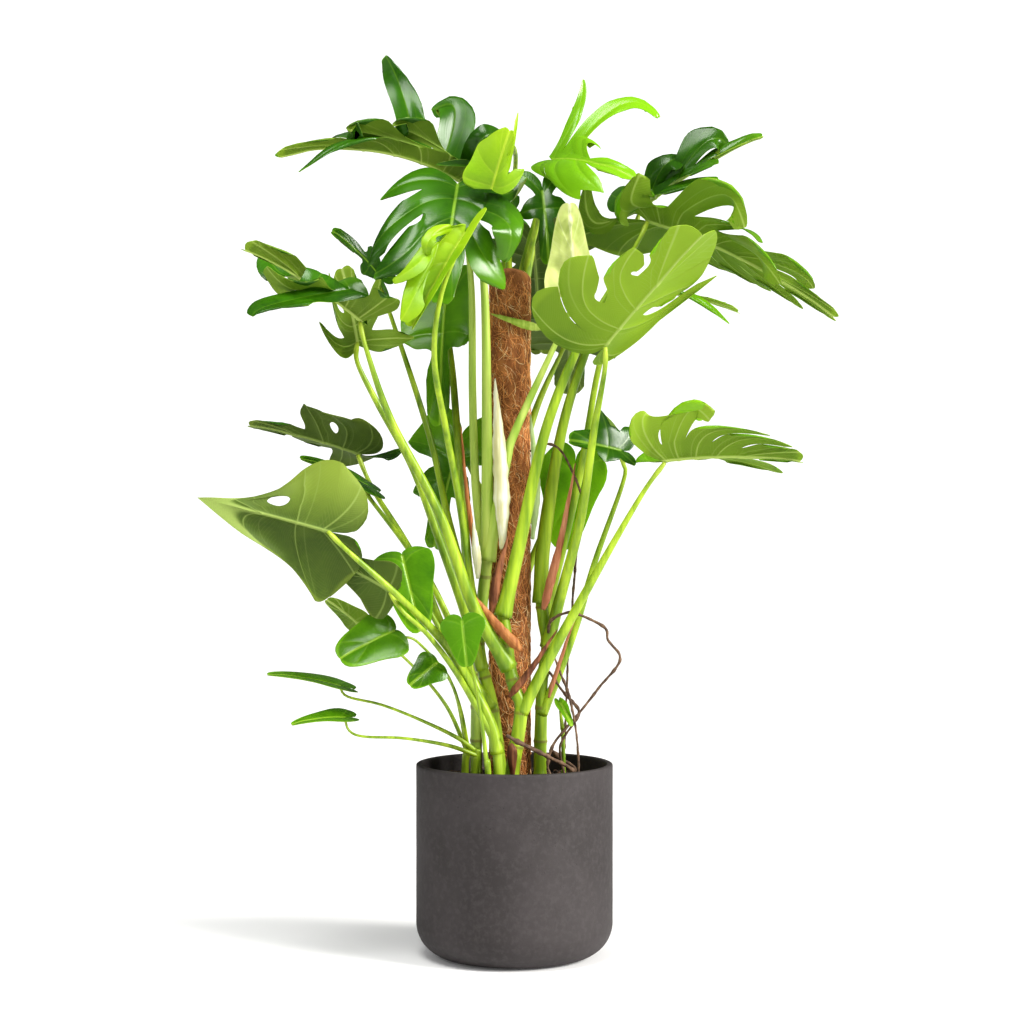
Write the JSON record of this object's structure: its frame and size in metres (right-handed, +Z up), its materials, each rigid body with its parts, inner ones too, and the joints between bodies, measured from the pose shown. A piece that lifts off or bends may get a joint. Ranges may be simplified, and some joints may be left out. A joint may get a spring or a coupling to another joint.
{
  "type": "potted climbing house plant",
  "caption": "Climbing aroid with large cut, split leaves on long stalks, tied to a fibre pole and standing in soil in a round flat-footed pot.",
  "frame": {"origin": "middle of the pot's flat foot, on the surface it stands on", "axes": "+Z up along the pot's axis, +X to the viewer's right as seen from the front, -Y the front"},
  "size_m": [1.0424, 0.6185, 1.5515],
  "materials": {
    "green_stalk": "satin",
    "pale_stalk": "satin",
    "green_leaf": "glossy upper face, matt lower face",
    "young_leaf": "satin",
    "cream_leaf": "satin",
    "root_brown": "rough bark",
    "fibre_clay": "matt, fine pits",
    "potting_soil": "crumbly",
    "coir_fibre": "matted fibre",
    "stake_wood": "raw"
  },
  "bodies": {
    "root": {"stem_front": "green_stalk", "stem_left": "green_stalk", "stem_right": "green_stalk", "stem_pale": "pale_stalk", "stem_climbing": "green_stalk", "stem_low_left": "green_stalk", "leaf_crown_left": "green_leaf", "leaf_crown_front": "green_leaf", "leaf_young": "young_leaf", "leaf_left_front": "green_leaf", "leaf_left_rear": "green_leaf", "leaf_left_slim": "green_leaf", "leaf_low_left": "green_leaf", "leaf_low_olive": "green_leaf", "leaf_low_heart": "green_leaf", "leaf_mid_left": "green_leaf", "leaf_mid_slim": "green_leaf", "leaf_rear_left": "green_leaf", "leaf_rear_right": "green_leaf", "leaf_back_hanging": "green_leaf", "leaf_behind_pole": "green_leaf", "leaf_rear_mid": "green_leaf", "leaf_right": "green_leaf", "leaf_right_dark": "green_leaf", "leaf_top_bright": "young_leaf", "leaf_top_dark": "green_leaf", "leaf_top_rear": "green_leaf", "leaf_top_yellow": "young_leaf", "leaf_upper_right": "green_leaf", "leaf_upper_right_rear": "green_leaf", "leaf_front": "young_leaf", "leaf_front_under": "green_leaf", "leaf_cream": "cream_leaf", "shoot_trailing": "green_stalk", "shoot_hearts": "green_stalk", "shoot_glossy": "green_stalk", "shoot_right": "green_stalk", "root_loop": "root_brown", "root_mid": "root_brown", "root_long": "root_brown", "root_tan": "root_brown", "root_thick": "root_brown", "root_surface": "root_brown", "pot": "fibre_clay", "soil": "potting_soil", "coir_sleeve": "coir_fibre", "pole_stake": "stake_wood"}
  },
  "joints": []
}
